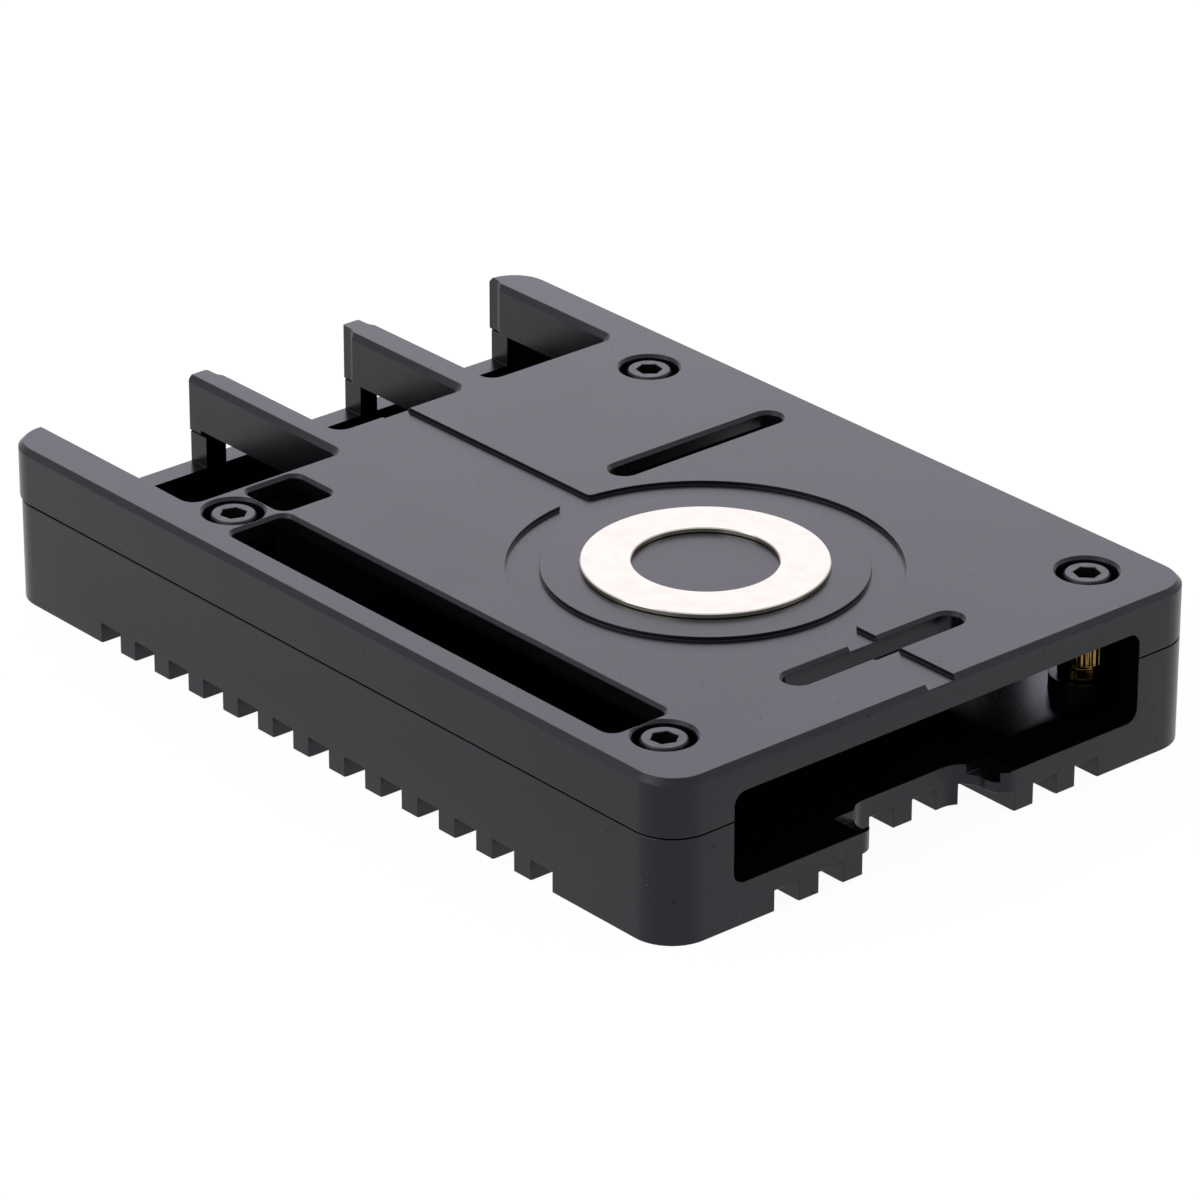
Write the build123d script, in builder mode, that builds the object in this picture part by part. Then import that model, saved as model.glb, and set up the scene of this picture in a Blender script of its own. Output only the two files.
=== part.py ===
from build123d import *
import os

# Two-piece case for a credit-card single-board computer, milled from aluminium.
# The origin is the centre of the underside. +X points to the network and USB end,
# +Y to the pin-header side, +Z up. All lengths are in millimetres.
# Places on the board are measured along +X from its edge at the card end and along +Y
# from its centre line.

# The circuit board that the case is made for.
board_length = 85.0
board_width = 56.0
board_thickness = 1.4
hole_inset = 3.5
hole_pitch_x = 58.0

# Room round the board, and the walls outside it.
card_end_gap = 1.7
port_end_gap = 0.1
side_gap = 0.35
side_wall = 2.5
port_wall = 2.4
port_setback = 0.3
corner_radius = 4.0

# The stack of heights, from the underside up to the screw heads.
floor_thickness = 4.0
boss_height = 1.6
spacer_length = 4.2
seat_thickness = 1.5
head_height = 2.5
head_recess = 0.2
base_height = 10.0
lid_plate = 2.0

# Edge breaks.
top_chamfer = 0.5
rim_chamfer = 0.3
bore_chamfer = 0.25
split_chamfer = 0.12
bottom_chamfer = 0.35

# Cap screws with a hexagon socket, and the holes that they stand in.
screw_diameter = 2.5
screw_length = 10.0
thread_clearance = 0.02
shank_hole_diameter = 2.8
head_diameter = 4.3
head_edge = 0.15
socket_flats = 2.0
socket_depth = 1.3
bore_clearance = 0.6
tap_run_out = 0.2
lid_boss_diameter = 7.3
base_boss_diameter = 6.2

# Turned brass spacers, loose on the screws.
spacer_diameter = 4.7
spacer_bore = 2.8
spacer_edge = 0.3

# Pin-header slot and the square opening beside it.
header_slot_length = 51.7
header_slot_width = 6.4
header_slot_x = 32.4
power_pins_length = 5.7
power_pins_width = 5.95
power_pins_x = 61.43
power_pins_from_header = 6.2
opening_corner_radius = 1.0

# Two slots for flat ribbon cables.
ribbon_slot_length = 20.0
ribbon_slot_width = 2.6
camera_slot_x = 45.76
camera_slot_y = -16.46
display_slot_x = 4.33
display_slot_y = 0.1

# Notches over the sockets at the port end, and the bars between them.
network_notch_y = 17.8
network_notch_width = 16.7
network_notch_x = 65.4
usb_notch_ys = (-0.9, -19.0)
usb_notch_width = 14.5
usb_notch_x = 69.2
notch_corner_radius = 1.0
mouth_relief_width = 0.8
mouth_relief_depth = 2.6
mouth_relief_corner = 1.5
tip_radius = 0.3
bar_start_x = 63.4
bar_gap = 0.4
bar_seat_depth = 1.9
rail_height = 6.9

# Window in the card end, and the finger scoop and card recess under it.
window_width = 47.0
window_header = 2.85
window_corner_radius = 1.2
scoop_width = 14.2
scoop_reach = 4.55
scoop_mouth_radius = 1.9
scoop_corner_radius = 2.4
card_recess_width = 18.0
card_recess_start = -3.6
card_recess_end = -0.5
card_recess_depth = 1.0

# Openings in the long side that holds the power, picture and sound sockets.
side_opening_xs = (11.2, 26.0, 39.5)
side_opening_width = 10.8
side_opening_top = 12.0
sound_opening_x = 54.0
sound_opening_width = 9.0
sound_opening_top = 13.0
side_opening_sill = 5.8
side_opening_radius = 0.8

# Shallow channel milled round a raised disc in the lid's top.
channel_depth = 0.4
channel_width = 3.2
channel_corner = 0.5
disc_x = 26.0
disc_radius = 14.5
ring_channel_width = 3.0

# Flat ring fixed on the disc.
trim_ring_diameter = 22.0
trim_ring_hole = 13.0
trim_ring_height = 0.5

# Crossed cooling grooves in the underside.
groove_width = 2.8
groove_depth = 2.0
groove_pitch = 5.0
groove_field_length = 60.0
groove_field_width = 35.0

# Posts under the lid, each with a soft pad over a chip on the board.
pad_thickness = 0.5
pad_margin = 0.3
processor_x = 29.25
processor_y = 4.5
processor_height = 2.4
processor_post = 15.0
memory_x = 42.5
memory_y = 4.5
memory_height = 1.0
memory_post_x = 9.0
memory_post_y = 13.0
controller_x = 57.0
controller_y = -4.0
controller_height = 1.0
controller_post = 8.0

# Plan positions that follow from the sizes above.
outer_length = side_wall + card_end_gap + board_length + port_end_gap + port_wall + port_setback
outer_width = board_width + 2 * (side_gap + side_wall)
card_face = -outer_length / 2
port_face = outer_length / 2
side_face = outer_width / 2
inner_side = side_face - side_wall
inner_card = card_face + side_wall
board_x = inner_card + card_end_gap
inner_port = board_x + board_length + port_end_gap
base_length = outer_length - port_setback
base_centre_x = -port_setback / 2
inner_corner_radius = corner_radius - side_wall
screw_xs = (board_x + hole_inset, board_x + hole_inset + hole_pitch_x)
hole_row = board_width / 2 - hole_inset
screw_ys = (-hole_row, hole_row)
bar_start = board_x + bar_start_x
disc_centre = board_x + disc_x

# Heights that follow from the stack.
board_seat = floor_thickness + boss_height
board_top = board_seat + board_thickness
lid_boss_bottom = board_top + spacer_length
screw_seat = lid_boss_bottom + seat_thickness
top_face = screw_seat + head_height + head_recess
lid_height = top_face - base_height
plate_bottom = top_face - lid_plate
screw_tip = screw_seat - screw_length

# How far a cut runs past the face that it starts from.
past = 2.0

# Every notch as centre line, width and inner wall, then the mouth of each USB notch.
notches = [(network_notch_y, network_notch_width, board_x + network_notch_x)]
for notch_y in usb_notch_ys:
    notches.append((notch_y, usb_notch_width, board_x + usb_notch_x))
usb_mouth_width = usb_notch_width + 2 * mouth_relief_width

# Openings that cross the split: the window in the card end and four in the long side.
window_top = top_face - window_header
with BuildSketch(Plane.YZ.offset(card_face - past)) as window:
    with Locations((0, (floor_thickness + window_top) / 2)):
        RectangleRounded(window_width, window_top - floor_thickness, window_corner_radius)

with BuildSketch(Plane.XZ.offset(side_face + past)) as side_openings:
    for opening_x in side_opening_xs:
        with Locations((board_x + opening_x, (side_opening_sill + side_opening_top) / 2)):
            height = side_opening_top - side_opening_sill
            RectangleRounded(side_opening_width, height, side_opening_radius)
    with Locations((board_x + sound_opening_x, (side_opening_sill + sound_opening_top) / 2)):
        height = sound_opening_top - side_opening_sill
        RectangleRounded(sound_opening_width, height, side_opening_radius)

# Upper shell: a plate with low walls, open at the port end between four prongs.
with BuildPart() as top_shell:
    with BuildSketch(Plane.XY.offset(base_height)):
        RectangleRounded(outer_length, outer_width, corner_radius)
    extrude(amount=lid_height)
    chamfer(top_shell.faces().sort_by(Axis.Z)[0].edges(), split_chamfer)

    # The hollow under the plate, with a bay running out to each notch.
    with BuildSketch(Plane.XY.offset(base_height)):
        with Locations(((inner_card + bar_start) / 2, 0)):
            RectangleRounded(bar_start - inner_card, 2 * inner_side, inner_corner_radius)
        for notch_y, notch_width, notch_x in notches:
            bay_start = bar_start - inner_corner_radius
            with Locations(((bay_start + notch_x) / 2, notch_y)):
                Rectangle(notch_x - bay_start, notch_width)
    extrude(amount=plate_bottom - base_height, mode=Mode.SUBTRACT)

    # Bosses for the screws and posts over the chips, standing down from the plate.
    with BuildSketch(Plane.XY.offset(plate_bottom)):
        with Locations(*[(x, y) for x in screw_xs for y in screw_ys]):
            Circle(lid_boss_diameter / 2)
    extrude(amount=lid_boss_bottom - plate_bottom)
    with BuildSketch(Plane.XY.offset(plate_bottom)):
        with Locations((board_x + processor_x, processor_y)):
            Rectangle(processor_post, processor_post)
    extrude(amount=board_top + processor_height + pad_thickness - plate_bottom)
    with BuildSketch(Plane.XY.offset(plate_bottom)):
        with Locations((board_x + memory_x, memory_y)):
            Rectangle(memory_post_x, memory_post_y)
    extrude(amount=board_top + memory_height + pad_thickness - plate_bottom)
    with BuildSketch(Plane.XY.offset(plate_bottom)):
        with Locations((board_x + controller_x, controller_y)):
            Rectangle(controller_post, controller_post)
    extrude(amount=board_top + controller_height + pad_thickness - plate_bottom)

    # Notches through the whole shell, wider at the mouth of the USB ones.
    with BuildSketch(Plane.XY.offset(base_height)) as notch_plan:
        for notch_y, notch_width, notch_x in notches:
            with Locations(((notch_x + port_face + past) / 2, notch_y)):
                Rectangle(port_face + past - notch_x, notch_width)
        fillet(notch_plan.vertices().filter_by(lambda v: v.X < port_face), notch_corner_radius)
    extrude(amount=lid_height, mode=Mode.SUBTRACT)
    with BuildSketch(Plane.XY.offset(base_height)) as mouth_plan:
        for notch_y in usb_notch_ys:
            with Locations((port_face, notch_y)):
                Rectangle(2 * mouth_relief_depth, usb_mouth_width)
        inner_corners = mouth_plan.vertices().filter_by(lambda v: v.X < port_face)
        fillet(inner_corners, mouth_relief_corner)
    extrude(amount=lid_height, mode=Mode.SUBTRACT)

    # The bars between the notches clear the split line, and sit on it only at the end wall.
    bar_end = port_face - bar_seat_depth
    with BuildSketch(Plane.XY.offset(base_height)):
        with Locations(((bar_start + bar_end) / 2, 0)):
            Rectangle(bar_end - bar_start, 2 * inner_side)
    extrude(amount=bar_gap, mode=Mode.SUBTRACT)

    # Outer edge of the top, all round except on the ends of the two middle bars.
    top_edges = top_shell.faces().sort_by(Axis.Z)[-1].outer_wire().edges()
    outer_edges = [
        edge
        for edge in top_edges
        if abs(edge.center().Y) > side_face - corner_radius / 2 or edge.center().X < inner_card
    ]
    chamfer(outer_edges, top_chamfer)

    # Rounded corners on the ends of the two middle bars.
    tips = top_shell.edges().filter_by(Axis.Z).group_by(Axis.X)[-1]
    middle_tips = tips.filter_by(lambda e: abs(e.center().Y) < inner_side - corner_radius)
    fillet(middle_tips, tip_radius)

    # Broken edge of the notches.
    with BuildSketch(Plane.XY.offset(top_face)) as notch_rims:
        for notch_y, notch_width, notch_x in notches:
            rim_start = notch_x - top_chamfer
            with Locations(((rim_start + port_face + past) / 2, notch_y)):
                Rectangle(port_face + past - rim_start, notch_width + 2 * top_chamfer)
        rim_corners = notch_rims.vertices().filter_by(lambda v: v.X < port_face)
        fillet(rim_corners, notch_corner_radius + top_chamfer)
    extrude(amount=-top_chamfer, taper=45, mode=Mode.SUBTRACT)

    # Channel from the card end, round the raised disc and on to the middle notch.
    with BuildSketch(Plane.XY.offset(top_face)) as channel:
        channel_end = board_x + usb_notch_x
        with Locations(((card_face - past + channel_end) / 2, 0)):
            Rectangle(channel_end - card_face + past, channel_width)
        with Locations((disc_centre, 0)):
            Circle(disc_radius + ring_channel_width)
        joints = channel.vertices().filter_by(lambda v: card_face < v.X < channel_end - past)
        fillet(joints, channel_corner)
        with Locations((disc_centre, 0)):
            Circle(disc_radius, mode=Mode.SUBTRACT)
    extrude(amount=-channel_depth, mode=Mode.SUBTRACT)

    # Openings in the plate, each with a broken rim.
    with BuildSketch(Plane.XY.offset(top_face)) as plate_openings:
        with Locations((board_x + header_slot_x, hole_row)):
            RectangleRounded(header_slot_length, header_slot_width, opening_corner_radius)
        with Locations((board_x + power_pins_x, hole_row - power_pins_from_header)):
            RectangleRounded(power_pins_length, power_pins_width, opening_corner_radius)
        with Locations((board_x + camera_slot_x, camera_slot_y)):
            SlotOverall(ribbon_slot_length, ribbon_slot_width, rotation=90)
        with Locations((board_x + display_slot_x, display_slot_y)):
            SlotOverall(ribbon_slot_length, ribbon_slot_width, rotation=90)
    extrude(amount=-lid_height, mode=Mode.SUBTRACT)
    with BuildSketch(Plane.XY.offset(top_face)):
        add(plate_openings.sketch)
        offset(amount=rim_chamfer, kind=Kind.ARC)
    extrude(amount=-rim_chamfer, taper=45, mode=Mode.SUBTRACT)

    # Stepped screw holes, each with a broken rim.
    bore_radius = head_diameter / 2 + bore_clearance
    with Locations(*[(x, y, top_face) for x in screw_xs for y in screw_ys]):
        CounterBoreHole(shank_hole_diameter / 2, bore_radius, top_face - screw_seat)
    with BuildSketch(Plane.XY.offset(top_face)):
        with Locations(*[(x, y) for x in screw_xs for y in screw_ys]):
            Circle(bore_radius + bore_chamfer)
    extrude(amount=-bore_chamfer, taper=45, mode=Mode.SUBTRACT)

    # The upper parts of the window and of the side openings.
    extrude(window.sketch, amount=side_wall + past, mode=Mode.SUBTRACT)
    extrude(side_openings.sketch, amount=-side_wall - past, mode=Mode.SUBTRACT)
top_shell.part.label = "top_shell"

# Lower shell: a tray with a thick floor, low rails at the port end and a grooved underside.
with BuildPart() as bottom_shell:
    with BuildSketch():
        with Locations((base_centre_x, 0)):
            RectangleRounded(base_length, outer_width, corner_radius)
    extrude(amount=base_height)
    chamfer(bottom_shell.faces().sort_by(Axis.Z)[-1].edges(), split_chamfer)
    chamfer(bottom_shell.faces().sort_by(Axis.Z)[0].edges(), bottom_chamfer)

    # Hollow for the board.
    with BuildSketch(Plane.XY.offset(floor_thickness)):
        with Locations(((inner_card + inner_port) / 2, 0)):
            RectangleRounded(inner_port - inner_card, 2 * inner_side, inner_corner_radius)
    extrude(amount=base_height - floor_thickness, mode=Mode.SUBTRACT)

    # Bosses that the board and the spacers rest on.
    with BuildSketch(Plane.XY.offset(floor_thickness)):
        with Locations(*[(x, y) for x in screw_xs for y in screw_ys]):
            Circle(base_boss_diameter / 2)
    extrude(amount=boss_height)

    # Socket openings in the port wall, down to the rails.
    with BuildSketch(Plane.YZ.offset(inner_port - port_end_gap)):
        opening_height = base_height + past - rail_height
        with Locations((network_notch_y, rail_height + opening_height / 2)):
            Rectangle(network_notch_width, opening_height)
        for notch_y in usb_notch_ys:
            with Locations((notch_y, rail_height + opening_height / 2)):
                Rectangle(usb_mouth_width, opening_height)
    extrude(amount=port_wall + port_end_gap + past, mode=Mode.SUBTRACT)

    # The lower parts of the window and of the side openings.
    extrude(window.sketch, amount=side_wall + past, mode=Mode.SUBTRACT)
    extrude(side_openings.sketch, amount=-side_wall - past, mode=Mode.SUBTRACT)

    # Recess for the end of a memory card.
    with BuildSketch(Plane.XY.offset(floor_thickness)):
        recess_centre = board_x + (card_recess_start + card_recess_end) / 2
        with Locations((recess_centre, 0)):
            Rectangle(card_recess_end - card_recess_start, card_recess_width)
    extrude(amount=-card_recess_depth, mode=Mode.SUBTRACT)

    # Finger scoop through the floor, flared at its mouth.
    scoop_back = card_face + scoop_reach
    with BuildSketch() as scoop:
        with Locations(((card_face - past + scoop_back) / 2, 0)):
            Rectangle(scoop_back - card_face + past, scoop_width)
        fillet(scoop.vertices().sort_by(Axis.X)[-2:], scoop_corner_radius)
    extrude(amount=floor_thickness, mode=Mode.SUBTRACT)
    mouth = bottom_shell.edges().filter_by(Axis.Z).group_by(Axis.X)[0]
    mouth = mouth.filter_by(lambda e: abs(e.center().Y) < card_recess_width / 2)
    fillet(mouth, scoop_mouth_radius)

    # Tapped screw holes.
    with Locations(*[(x, y, board_seat) for x in screw_xs for y in screw_ys]):
        Hole(screw_diameter / 2 + thread_clearance, board_seat - screw_tip + tap_run_out)

    # Crossed cooling grooves that leave a field of square pins.
    grooves_along_y = round(groove_field_length / groove_pitch) + 1
    grooves_along_x = round(groove_field_width / groove_pitch) + 1
    with BuildSketch():
        with GridLocations(groove_pitch, 0, grooves_along_y, 1):
            Rectangle(groove_width, outer_width + past)
        with GridLocations(0, groove_pitch, 1, grooves_along_x):
            Rectangle(outer_length + past, groove_width)
    extrude(amount=groove_depth, mode=Mode.SUBTRACT)
bottom_shell.part.label = "bottom_shell"

os.makedirs("parts", exist_ok=True)
export_step(top_shell.part, "parts/top_shell.step")
export_step(bottom_shell.part, "parts/bottom_shell.step")

# Screws and spacers, one of each at every corner of the board's hole pattern.
corners = [
    ("card_power", screw_xs[0], screw_ys[0]),
    ("card_header", screw_xs[0], screw_ys[1]),
    ("port_power", screw_xs[1], screw_ys[0]),
    ("port_header", screw_xs[1], screw_ys[1]),
]
for corner, x, y in corners:
    with BuildPart() as screw:
        with BuildSketch(Plane((x, y, screw_seat))):
            Circle(head_diameter / 2)
        extrude(amount=head_height)
        chamfer(screw.edges().group_by(Axis.Z)[-1], head_edge)
        with BuildSketch(Plane((x, y, screw_seat + head_height))):
            RegularPolygon(socket_flats / 2, 6, major_radius=False)
        extrude(amount=-socket_depth, mode=Mode.SUBTRACT)
        with BuildSketch(Plane((x, y, screw_seat))):
            Circle(screw_diameter / 2)
        extrude(amount=-screw_length)
    screw.part.label = "screw_" + corner
    export_step(screw.part, "parts/screw_" + corner + ".step")

    with BuildPart() as spacer:
        with BuildSketch(Plane((x, y, board_seat))):
            Circle(spacer_diameter / 2)
            Circle(spacer_bore / 2, mode=Mode.SUBTRACT)
        extrude(amount=spacer_length)
        lower_edges = spacer.edges().group_by(Axis.Z)[0]
        chamfer(lower_edges.sort_by(SortBy.RADIUS)[-1], spacer_edge)
    spacer.part.label = "spacer_" + corner
    export_step(spacer.part, "parts/spacer_" + corner + ".step")

# Soft pads under the posts.
pads = [
    ("processor", processor_x, processor_y, processor_height, processor_post, processor_post),
    ("memory", memory_x, memory_y, memory_height, memory_post_x, memory_post_y),
    ("controller", controller_x, controller_y, controller_height, controller_post, controller_post),
]
for chip, x, y, chip_height, size_x, size_y in pads:
    with BuildPart() as pad:
        with BuildSketch(Plane((board_x + x, y, board_top + chip_height))):
            Rectangle(size_x - 2 * pad_margin, size_y - 2 * pad_margin)
        extrude(amount=pad_thickness)
    pad.part.label = "pad_" + chip
    export_step(pad.part, "parts/pad_" + chip + ".step")

# Flat ring on the raised disc.
with BuildPart() as trim_ring:
    with BuildSketch(Plane((disc_centre, 0, top_face))):
        Circle(trim_ring_diameter / 2)
        Circle(trim_ring_hole / 2, mode=Mode.SUBTRACT)
    extrude(amount=trim_ring_height)
trim_ring.part.label = "trim_ring"
export_step(trim_ring.part, "parts/trim_ring.step")
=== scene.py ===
import math
import bmesh
import bpy
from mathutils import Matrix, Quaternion, Vector


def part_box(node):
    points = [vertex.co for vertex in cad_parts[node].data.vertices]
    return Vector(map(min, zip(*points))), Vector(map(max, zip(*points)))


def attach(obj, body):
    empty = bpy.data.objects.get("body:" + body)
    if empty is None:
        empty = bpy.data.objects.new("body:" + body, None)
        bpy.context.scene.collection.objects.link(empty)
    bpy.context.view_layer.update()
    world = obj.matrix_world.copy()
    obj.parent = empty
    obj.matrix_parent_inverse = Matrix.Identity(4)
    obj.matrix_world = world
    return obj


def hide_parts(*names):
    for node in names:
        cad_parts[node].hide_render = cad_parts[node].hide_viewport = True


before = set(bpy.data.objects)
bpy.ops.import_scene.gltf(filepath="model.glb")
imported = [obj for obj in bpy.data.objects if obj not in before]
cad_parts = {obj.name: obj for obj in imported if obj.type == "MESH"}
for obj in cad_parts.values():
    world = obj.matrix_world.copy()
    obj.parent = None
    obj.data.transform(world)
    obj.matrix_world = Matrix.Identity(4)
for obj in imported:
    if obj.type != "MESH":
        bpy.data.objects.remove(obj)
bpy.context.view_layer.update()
MM = 0.001

# Sockets that go by number, because another socket of their node has the same name.
MIX_COLOURS = (6, 7)
MIX_RESULT = 2
RANDOM_FLOAT_MAX = 3
RANDOM_FLOAT = 1


# Shader trees written as expressions.

class Value:
    """A socket of one finish, which can be added, multiplied and compared.

    A mask goes from 0 to 1, and | takes the larger of two masks.
    """

    def __init__(self, finish, socket):
        self.finish = finish
        self.socket = socket

    def maths(self, operation, *others):
        sockets = dict(enumerate([self, *others]))
        return self.finish.node("ShaderNodeMath", {"operation": operation}, sockets)

    def __add__(self, other):
        return self.maths("ADD", other)

    def __sub__(self, other):
        return self.maths("SUBTRACT", other)

    def __rsub__(self, other):
        return self.finish.node("ShaderNodeMath", {"operation": "SUBTRACT"}, {0: other, 1: self})

    def __mul__(self, other):
        return self.maths("MULTIPLY", other)

    def __gt__(self, other):
        return self.maths("GREATER_THAN", other)

    def __lt__(self, other):
        return self.maths("LESS_THAN", other)

    def __or__(self, other):
        return self.maths("MAXIMUM", other)

    def __abs__(self):
        return self.maths("ABSOLUTE")

    __radd__ = __add__
    __rmul__ = __mul__
    __ror__ = __or__


class Finish:
    """A node tree for one of the case's surfaces, the floor or the surroundings."""

    def __init__(self, name, kind="materials"):
        self.owner = getattr(bpy.data, kind).new(name)
        self.owner.use_nodes = True
        self.tree = self.owner.node_tree
        self.tree.nodes.clear()

    def node(self, kind, settings, sockets, output=0):
        made = self.tree.nodes.new(kind)
        for key, setting in settings.items():
            setattr(made, key, setting)
        for key, value in sockets.items():
            if isinstance(value, Value):
                self.tree.links.new(value.socket, made.inputs[key])
            else:
                made.inputs[key].default_value = value
        return Value(self, made.outputs[output]) if made.outputs else None

    def place(self, stretch=(1.0, 1.0, 1.0)):
        """Object coordinates in millimetres, stretched along each axis."""
        here = self.node("ShaderNodeTexCoord", {}, {}, "Object")
        factors = [s / MM for s in stretch]
        return self.node("ShaderNodeMapping", {}, {"Vector": here, "Scale": factors})

    def axis(self, where, letter):
        return self.node("ShaderNodeSeparateXYZ", {}, {"Vector": where}, letter)

    def noise(self, where, scale, detail):
        sockets = {"Vector": where, "Scale": scale, "Detail": detail}
        return self.node("ShaderNodeTexNoise", {}, sockets, "Fac")

    def ramp(self, value, low, high, to_low=0.0, to_high=1.0):
        sockets = {
            "Value": value,
            "From Min": low,
            "From Max": high,
            "To Min": to_low,
            "To Max": to_high,
        }
        return self.node("ShaderNodeMapRange", {"clamp": True}, sockets)

    def blend(self, factor, first, second):
        sockets = {0: factor, MIX_COLOURS[0]: first, MIX_COLOURS[1]: second}
        return self.node("ShaderNodeMix", {"data_type": "RGBA"}, sockets, MIX_RESULT)

    def shade(self, pattern, dark, pale):
        """A colour that goes from dark to pale with a noise."""
        return self.blend(self.ramp(pattern, 0.35, 0.65), dark, pale)

    def bump(self, height, strength, distance):
        sockets = {"Height": height, "Strength": strength, "Distance": distance}
        return self.node("ShaderNodeBump", {}, sockets)

    def shader(self, sockets):
        return self.node("ShaderNodeBsdfPrincipled", {}, sockets)

    def mix(self, factor, first, second):
        return self.node("ShaderNodeMixShader", {}, {0: factor, 1: first, 2: second})

    def shown(self):
        """1 for what is seen, directly, mirrored or through glass, and 0 for light that falls."""
        seen = self.node("ShaderNodeLightPath", {}, {}, "Is Camera Ray")
        mirrored = self.node("ShaderNodeLightPath", {}, {}, "Is Glossy Ray")
        through = self.node("ShaderNodeLightPath", {}, {}, "Is Transmission Ray")
        return seen | mirrored | through

    def surface(self, shader, output="ShaderNodeOutputMaterial"):
        self.node(output, {}, {"Surface": shader})
        return self.owner


def dust(finish, size, share):
    """Mask of sparse round specks: their size in millimetres, and the share of cells with one."""
    cell = size * 6
    speck_reach = 0.09
    sockets = {"Vector": finish.place(), "Scale": 1.0 / cell}
    near = finish.node("ShaderNodeTexVoronoi", {}, sockets, "Distance")
    chance = finish.node("ShaderNodeTexVoronoi", {}, sockets, "Color")
    pick = finish.node("ShaderNodeSeparateColor", {}, {"Color": chance}, "Red")
    return (near < speck_reach) * (pick < share)


def hollow_shade_and_joint(finish, where):
    """1 in the joint and where shade is painted in the space for the board, fading out by the
    power socket's corner.
    """
    along = finish.axis(where, "X")
    across = finish.axis(where, "Y")
    up = finish.axis(where, "Z")

    # The space in the base up to the port wall, and the space in the lid up to the notches,
    # with the lower walls of the slots and bores above it.
    floor_face = 3.9
    base_rim = 9.95
    port_wall = 43.35
    slot_walls = 13.95
    notches = 23.5
    side_walls = 28.4
    room = (up < base_rim) * (along < port_wall) | (up < slot_walls) * (along < notches)
    room = room * (up > floor_face) * (across > -side_walls) * (across < side_walls)

    # Painted shade: black in the depth of the case, on the sill of the card window, and near the
    # window except by the power socket's corner.
    deep = finish.ramp(along, -28.0, -16.0)
    past_corner = finish.ramp(across, -19.0, -12.0)
    near_window = finish.ramp(along, -34.0, -28.0, 1.0, 0.0)
    sill = finish.ramp(along, -41.2, -39.8, 1.0, 0.0)

    # By the window the painted shade stays under the plate, and clear of the case's outer faces.
    card_face = -45.9
    window_reach = 25.5
    window_top = 13.3
    by_window = (past_corner * near_window | sill) * (along > card_face)
    by_window = by_window * (abs(across) < window_reach) * (up < window_top)

    joint_height = 10.0
    joint_reach = 0.08
    joint = abs(up - joint_height) < joint_reach
    return (deep | by_window) * room | joint


def anodised_shell():
    """Black anodised aluminium over a fine blasted surface, with a little dust and small pits,
    and painted shade inside the case.
    """
    finish = Finish("anodised shell")
    where = finish.place()
    grain = finish.noise(where, scale=7.0, detail=3.0)
    cloud = finish.noise(where, scale=0.09, detail=3.0)
    mottle = finish.noise(where, scale=0.9, detail=4.0)
    drawn = finish.noise(finish.place((0.05, 0.05, 3.0)), scale=1.0, detail=2.0)
    tone = cloud * 0.6 + mottle * 0.25 + grain * 0.15
    black = finish.shade(tone, (0.0022, 0.002, 0.0028, 1.0), (0.004, 0.0037, 0.005, 1.0))
    speck = 0.16
    dusty = finish.blend(dust(finish, speck, share=0.035), black, (0.16, 0.16, 0.165, 1.0))
    wear = cloud * 0.5 + grain * 0.3 + drawn * 0.2
    open_face = finish.shader({
        "Base Color": dusty,
        "Roughness": finish.ramp(wear, 0.3, 0.7, 0.26, 0.31),
        "IOR": 1.4,
        "Specular Tint": (0.86, 0.885, 1.0, 1.0),
        "Normal": finish.bump(grain * 0.6 + mottle * 0.4, 0.25, 0.022 * MM),
    })
    # Painted shade: a dull black without any reflection inside the case, which also gives the
    # dark joint and the small pits.
    shade_joint_and_pit_face = finish.shader({
        "Base Color": (0.002, 0.002, 0.002, 1.0),
        "Roughness": 0.6,
        "Specular IOR Level": 0.0,
    })
    pits = dust(finish, speck, share=0.15) * 0.6
    return finish.surface(finish.mix(hollow_shade_and_joint(finish, where) | pits, open_face, shade_joint_and_pit_face))


def oxide_screw(top):
    """Blackened steel with a fine grain, with painted light on the head's top and painted shade
    below it.
    """
    finish = Finish("black oxide screw")
    where = finish.place()
    grain = finish.noise(where, scale=12.0, detail=3.0)
    cloud = finish.noise(where, scale=1.1, detail=2.0)
    tone = grain * 0.5 + cloud * 0.5
    steel = finish.shade(tone, (0.048, 0.046, 0.05, 1.0), (0.078, 0.075, 0.08, 1.0))
    # Painted light and shade: the head's top is paler, its edge and sides darker.
    painted_lit_top = finish.ramp(finish.axis(where, "Z"), top - 0.1, top - 0.005)
    return finish.surface(finish.shader({
        "Base Color": finish.blend(painted_lit_top, (0.016, 0.015, 0.017, 1.0), steel),
        "Roughness": finish.ramp(grain, 0.3, 0.7, 0.34, 0.46),
        "Metallic": 0.85,
        "Normal": finish.bump(grain, 0.3, 0.01 * MM),
    }))


def turned_brass():
    """Turned brass darkened all over as painted shade, with rings left by the tool."""
    finish = Finish("turned brass")
    rings = finish.noise(finish.place((0.02, 0.02, 9.0)), scale=1.0, detail=1.0)
    cloud = finish.noise(finish.place(), scale=1.4, detail=2.0)
    return finish.surface(finish.shader({
        # Painted shade: the brass colour is darkened for the shade inside the case.
        "Base Color": finish.shade(cloud, (0.2, 0.13, 0.035, 1.0), (0.3, 0.2, 0.06, 1.0)),
        "Roughness": finish.ramp(rings, 0.3, 0.7, 0.1, 0.2),
        "Metallic": 1.0,
        "Normal": finish.bump(rings, 0.2, 0.01 * MM),
    }))


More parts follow.
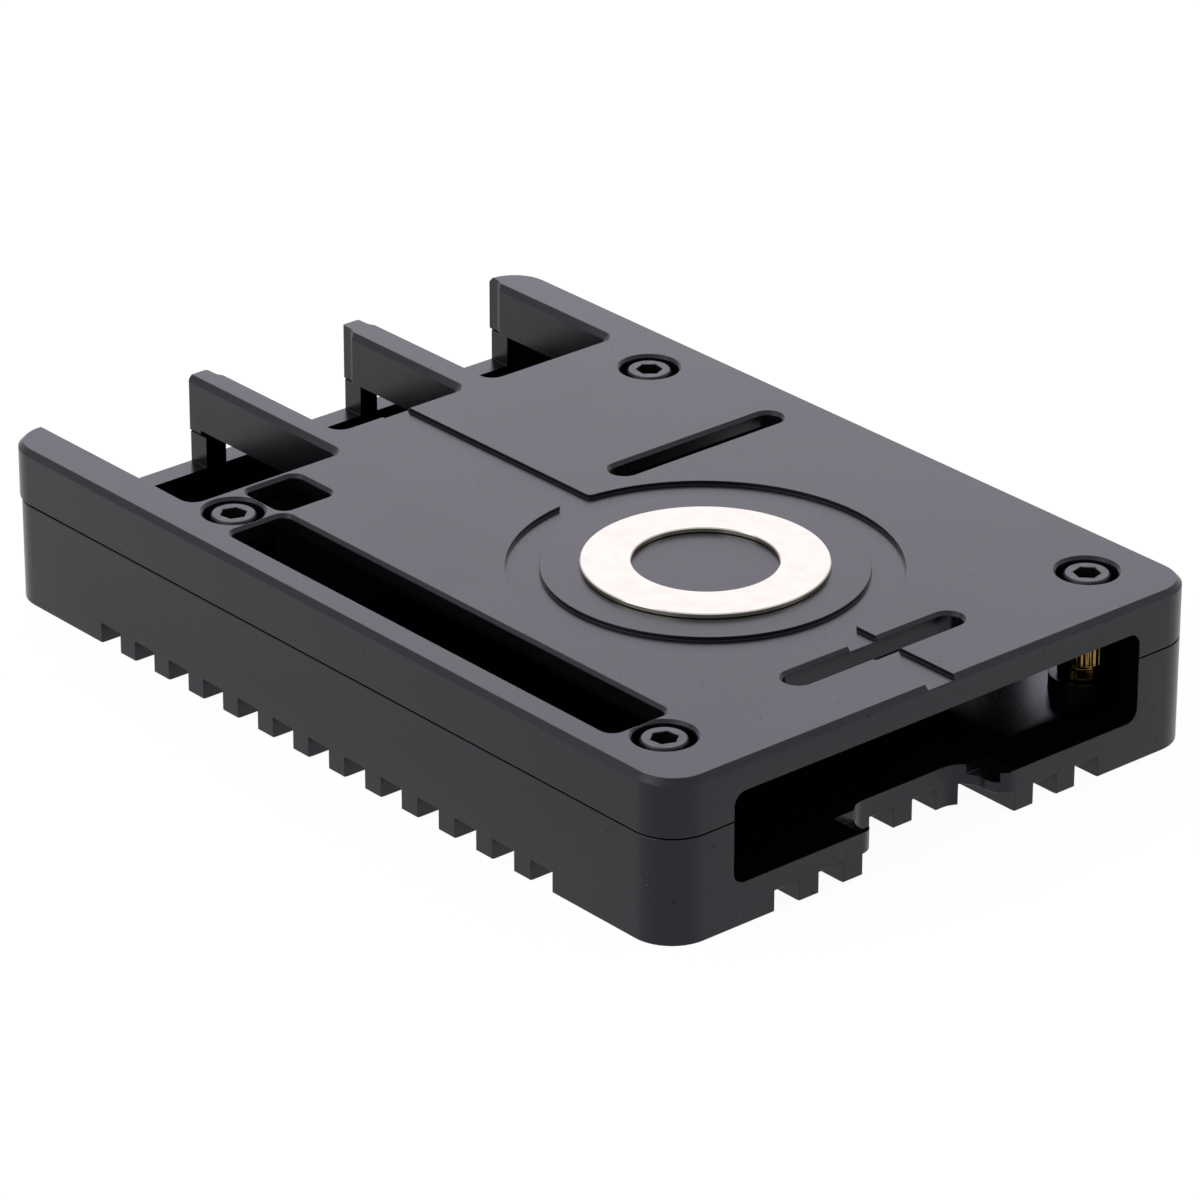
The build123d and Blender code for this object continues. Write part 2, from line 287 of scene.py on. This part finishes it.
def polished_trim():
    """Polished plate with hair-fine scratches."""
    finish = Finish("polished trim")
    scratch = finish.noise(finish.place((0.4, 14.0, 1.0)), scale=1.0, detail=2.0)
    cloud = finish.noise(finish.place(), scale=0.5, detail=2.0)
    return finish.surface(finish.shader({
        "Base Color": finish.shade(cloud, (0.46, 0.44, 0.38, 1.0), (0.5, 0.48, 0.42, 1.0)),
        "Roughness": finish.ramp(scratch * 0.6 + cloud * 0.4, 0.35, 0.65, 0.12, 0.2),
        "Metallic": 1.0,
        "Normal": finish.bump(scratch, 0.12, 0.004 * MM),
    }))


def thermal_pad():
    """Soft grey-blue pad with a slightly uneven, matt skin."""
    finish = Finish("thermal pad")
    grain = finish.noise(finish.place(), scale=5.0, detail=4.0)
    return finish.surface(finish.shader({
        "Base Color": finish.shade(grain, (0.3, 0.36, 0.4, 1.0), (0.38, 0.44, 0.48, 1.0)),
        "Roughness": finish.ramp(grain, 0.3, 0.7, 0.7, 0.85),
        "Normal": finish.bump(grain, 0.5, 0.05 * MM),
    }))


# Meshes.

def adopt(mesh, name, material):
    """A piece at the origin, with its finish."""
    mesh.materials.clear()
    mesh.materials.append(material)
    piece = bpy.data.objects.new(name, mesh)
    bpy.context.scene.collection.objects.link(piece)
    return piece


def settle(piece):
    """Works a piece's modifiers into its mesh."""
    finished = piece.evaluated_get(bpy.context.evaluated_depsgraph_get())
    mesh = bpy.data.meshes.new_from_object(finished)
    piece.modifiers.clear()
    old = piece.data
    piece.data = mesh
    bpy.data.meshes.remove(old)


def smooth(mesh, sharp_angle):
    """Smooth faces that meet in a crease above an angle in degrees."""
    for polygon in mesh.polygons:
        polygon.use_smooth = True
    mesh.set_sharp_from_angle(angle=math.radians(sharp_angle))


def broken_edges(node, name, material, edge, low_edge=None):
    """A piece from the frame with its flats joined and its sharp edges slightly broken.

    The sides of a piece that stands on the floor run down to low_edge.
    """
    same_point = 0.0005 * MM
    flat_angle = math.radians(0.6)
    chamfer_top = 0.5 * MM
    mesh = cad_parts[node].data.copy()
    form = bmesh.new()
    form.from_mesh(mesh)
    bmesh.ops.remove_doubles(form, verts=form.verts, dist=same_point)
    bmesh.ops.dissolve_limit(form, angle_limit=flat_angle, verts=form.verts, edges=form.edges)
    if low_edge is not None:
        for vertex in form.verts:
            if low_edge < vertex.co.z < chamfer_top:
                vertex.co.z = low_edge
    form.to_mesh(mesh)
    form.free()
    if "custom_normal" in mesh.attributes:
        mesh.attributes.remove(mesh.attributes["custom_normal"])
    piece = adopt(mesh, name, material)
    bevel = piece.modifiers.new("broken edges", "BEVEL")
    bevel.width = edge
    bevel.segments = 1
    bevel.limit_method = "ANGLE"
    bevel.angle_limit = math.radians(28.0)
    bevel.use_clamp_overlap = False
    bevel.miter_outer = "MITER_SHARP"
    settle(piece)
    low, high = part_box(node)
    for vertex in piece.data.vertices:
        vertex.co = [min(max(at, least), most) for at, least, most in zip(vertex.co, low, high)]
    smooth(piece.data, 20.0)
    return piece


def turned(rings, steps, name, material):
    """A closed form from rings, each a height and a radius as a function of the angle."""
    form = bmesh.new()
    loops = []
    for height, radius in rings:
        loop = []
        for step in range(steps):
            angle = 2 * math.pi * step / steps
            reach = radius(angle)
            place = (reach * math.cos(angle), reach * math.sin(angle), height * MM)
            loop.append(form.verts.new(place))
        loops.append(loop)
    for low, high in zip(loops, loops[1:]):
        for step in range(steps):
            after = (step + 1) % steps
            form.faces.new((low[step], low[after], high[after], high[step]))
    form.faces.new(list(reversed(loops[0])))
    form.faces.new(loops[-1])
    bmesh.ops.recalc_face_normals(form, faces=form.faces)
    mesh = bpy.data.meshes.new(name)
    form.to_mesh(mesh)
    form.free()
    smooth(mesh, 32.0)
    return adopt(mesh, name, material)


def round_to(radius):
    return lambda angle: radius * MM


def knurled(radius, depth, ridges):
    return lambda angle: (radius + depth * math.cos(ridges * angle)) * MM


def hexagon(flats):
    def reach(angle):
        aside = angle % (math.pi / 3) - math.pi / 6
        return flats / 2 * MM / math.cos(aside)
    return reach


def cap_screw(tip, top, material):
    """A socket cap screw from its tip to the top of its knurled head."""
    shank = round_to(1.22)
    grip = knurled(radius=2.1, depth=0.04, ridges=24)
    head_foot = top - 2.5
    socket = hexagon(2.16)
    return turned(
        [
            (tip, round_to(0.9)),
            (tip + 0.35, shank),
            (head_foot, shank),
            (head_foot, round_to(2.02)),
            (top - 2.42, round_to(2.1)),
            (top - 2.3, grip),
            (top - 0.45, grip),
            (top - 0.3, round_to(2.12)),
            (top - 0.17, round_to(2.08)),
            (top, round_to(1.9)),
            (top, hexagon(2.28)),
            (top - 0.06, socket),
            (top - 1.3, socket),
            (top - 1.45, round_to(0.9)),
            (top - 1.7, round_to(0.1)),
        ],
        96, "one_screw", material,
    )


def brass_spacer(foot, crown, material):
    """A spacer with a plain collar, a groove and a knurled upper part."""
    bore = round_to(1.4)
    collar = round_to(2.34)
    groove = round_to(2.14)
    grip = knurled(radius=2.31, depth=0.03, ridges=32)
    return turned(
        [
            (foot, bore),
            (foot, round_to(2.1)),
            (foot + 0.22, collar),
            (foot + 1.1, collar),
            (foot + 1.15, groove),
            (foot + 1.5, groove),
            (foot + 1.55, grip),
            (crown - 0.25, grip),
            (crown, round_to(2.08)),
            (crown, bore),
        ],
        256, "one_spacer", material,
    )


def four_corners(name, part, set_name, centre, pitch, turns, material):
    """Sets a part at the corners of the board's hole pattern with Geometry Nodes."""
    tree = bpy.data.node_groups.new(set_name, "GeometryNodeTree")
    sizes = {
        "Pitch along": pitch[0],
        "Pitch across": pitch[1],
        "Centre": centre,
        "Turn range": turns,
        "Turn seed": 4,
    }
    kinds = {"Centre": "NodeSocketVector", "Turn seed": "NodeSocketInt"}
    for label in sizes:
        kind = kinds.get(label, "NodeSocketFloat")
        tree.interface.new_socket(label, in_out="INPUT", socket_type=kind)
    tree.interface.new_socket("Geometry", in_out="OUTPUT", socket_type="NodeSocketGeometry")
    given = tree.nodes.new("NodeGroupInput")
    grid = tree.nodes.new("GeometryNodeMeshGrid")
    grid.inputs["Vertices X"].default_value = 2
    grid.inputs["Vertices Y"].default_value = 2
    move = tree.nodes.new("GeometryNodeTransform")
    source = tree.nodes.new("GeometryNodeObjectInfo")
    source.inputs["Object"].default_value = part
    spin = tree.nodes.new("FunctionNodeRandomValue")
    turn = tree.nodes.new("ShaderNodeCombineXYZ")
    instance = tree.nodes.new("GeometryNodeInstanceOnPoints")
    realize = tree.nodes.new("GeometryNodeRealizeInstances")
    paint = tree.nodes.new("GeometryNodeSetMaterial")
    paint.inputs["Material"].default_value = material
    out = tree.nodes.new("NodeGroupOutput")
    wires = (
        (given, "Pitch along", grid, "Size X"),
        (given, "Pitch across", grid, "Size Y"),
        (grid, "Mesh", move, "Geometry"),
        (given, "Centre", move, "Translation"),
        (move, "Geometry", instance, "Points"),
        (source, "Geometry", instance, "Instance"),
        (given, "Turn range", spin, RANDOM_FLOAT_MAX),
        (given, "Turn seed", spin, "Seed"),
        (spin, RANDOM_FLOAT, turn, "Z"),
        (turn, "Vector", instance, "Rotation"),
        (instance, "Instances", realize, "Geometry"),
        (realize, "Geometry", paint, "Geometry"),
        (paint, "Geometry", out, "Geometry"),
    )
    for giver, output, taker, entry in wires:
        tree.links.new(giver.outputs[output], taker.inputs[entry])
    piece = adopt(bpy.data.meshes.new(name), name, material)
    grown = piece.modifiers.new(set_name, "NODES")
    grown.node_group = tree
    for item in tree.interface.items_tree:
        if item.in_out == "INPUT":
            grown[item.identifier] = sizes[item.name]
    settle(piece)
    bpy.data.objects.remove(part)
    return piece


# The case.

screw_low, screw_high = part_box("screw_card_power")
opposite_low, opposite_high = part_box("screw_port_header")
spacer_low, spacer_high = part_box("spacer_card_power")
hole_pitch = (opposite_low.x - screw_low.x, opposite_low.y - screw_low.y)
middle = (screw_low + screw_high + opposite_low + opposite_high) / 4
hole_centre = (middle.x, middle.y, 0.0)
head_top = screw_high.z / MM
corners = ("card_power", "card_header", "port_power", "port_header")

shell_finish = anodised_shell()
screw_finish = oxide_screw(head_top)
brass_finish = turned_brass()
ring_finish = polished_trim()
pad_finish = thermal_pad()

shells = (("top_shell", "upper_shell", None), ("bottom_shell", "lower_shell", 0.05 * MM))
for node, name, low_edge in shells:
    shell = broken_edges(node, name, shell_finish, 0.035 * MM, low_edge)
    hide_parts(node)
    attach(shell, "root")

screw = cap_screw(screw_low.z / MM, head_top, screw_finish)
sixth_turn = math.pi / 3
screws = four_corners(
    "cap_screws", screw, "screw set", hole_centre, hole_pitch, sixth_turn, screw_finish,
)
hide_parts(*["screw_" + corner for corner in corners])
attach(screws, "root")

spacer = brass_spacer(spacer_low.z / MM, spacer_high.z / MM, brass_finish)
half_turn = math.pi
spacers = four_corners(
    "brass_spacers", spacer, "spacer set", hole_centre, hole_pitch, half_turn, brass_finish,
)
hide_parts(*["spacer_" + corner for corner in corners])
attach(spacers, "root")

ring = broken_edges("trim_ring", "polished_ring", ring_finish, 0.09 * MM)
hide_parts("trim_ring")
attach(ring, "root")

for chip in ("processor", "memory", "controller"):
    pad = broken_edges("pad_" + chip, "soft_pad_" + chip, pad_finish, 0.12 * MM)
    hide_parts("pad_" + chip)
    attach(pad, "root")


# The camera, at the photograph's place.

picture_pixels = 1200.0
focal_pixels = 6636.27
tilt = 0.0023154
lens = bpy.data.cameras.new("lens")
lens.sensor_width = 36.0
lens.lens = lens.sensor_width * focal_pixels / picture_pixels
lens.clip_start = 0.01
lens.clip_end = 20.0
camera = bpy.data.objects.new("camera", lens)
camera.location = Vector((-405.894, 349.040, 263.586)) * MM
aim = Vector((-2.685, 0.821, 7.400)) * MM
look = (aim - camera.location).to_track_quat("-Z", "Y")
camera.rotation_mode = "QUATERNION"
camera.rotation_quaternion = look @ Quaternion((0.0, 0.0, 1.0), tilt)
bpy.context.scene.collection.objects.link(camera)
bpy.context.scene.camera = camera


# The floor, the surroundings and the lamps.

def studio_floor():
    """White paper with a faint shadow on it, seen only from above."""
    finish = Finish("studio floor")
    white = (1.0, 1.0, 1.0, 1.0)
    paper = finish.shader({"Base Color": (0.88, 0.88, 0.88, 1.0), "Roughness": 1.0})
    bright = finish.node("ShaderNodeEmission", {}, {"Color": white, "Strength": 1.06})
    top = finish.mix(finish.shown() * 0.9, paper, bright)
    clear = finish.node("ShaderNodeBsdfTransparent", {}, {})
    under = finish.node("ShaderNodeNewGeometry", {}, {}, "Backfacing")
    return finish.surface(finish.mix(under, top, clear))


def studio_walls():
    """Surroundings that look white and light the case at less than half of that."""
    walls = Finish("studio walls", "worlds")
    white = (1.0, 1.0, 1.0, 1.0)
    look = walls.node("ShaderNodeBackground", {}, {"Color": white, "Strength": 1.0})
    light = walls.node("ShaderNodeBackground", {}, {"Color": white, "Strength": 0.4})
    return walls.surface(walls.mix(walls.shown(), light, look), "ShaderNodeOutputWorld")


def softbox(name, place, width, height, power, tint=(1.0, 1.0, 1.0)):
    """A rectangular lamp turned to the middle of the case."""
    lamp = bpy.data.lights.new(name, "AREA")
    lamp.shape = "RECTANGLE"
    lamp.size = width
    lamp.size_y = height
    lamp.energy = power
    lamp.color = tint
    case_middle = Vector((0.0, 0.0, 8.0)) * MM
    box = bpy.data.objects.new(name, lamp)
    box.location = place
    box.rotation_mode = "QUATERNION"
    box.rotation_quaternion = (case_middle - box.location).to_track_quat("-Z", "Y")
    bpy.context.scene.collection.objects.link(box)


# The floor is just under the case, so that no two faces share a place.
reach = 3.0
drop = -0.02 * MM
floor_mesh = bpy.data.meshes.new("floor")
floor_mesh.from_pydata(
    [(-reach, -reach, drop), (reach, -reach, drop), (reach, reach, drop), (-reach, reach, drop)],
    [], [(0, 1, 2, 3)],
)
floor = adopt(floor_mesh, "floor", studio_floor())

bpy.context.scene.world = studio_walls()
softbox("back softbox", Vector((0.80, -0.69, 0.50)), 1.3, 0.8, 3.8, (0.9, 0.81, 1.0))
softbox("side softbox", Vector((0.05, 0.5, 0.33)), 0.6, 0.5, 1.6)
softbox("front fill", Vector((-0.7, -0.7, 0.4)), 0.5, 0.4, 0.6)

bpy.context.scene.view_settings.view_transform = "Standard"

bpy.context.view_layer.update()
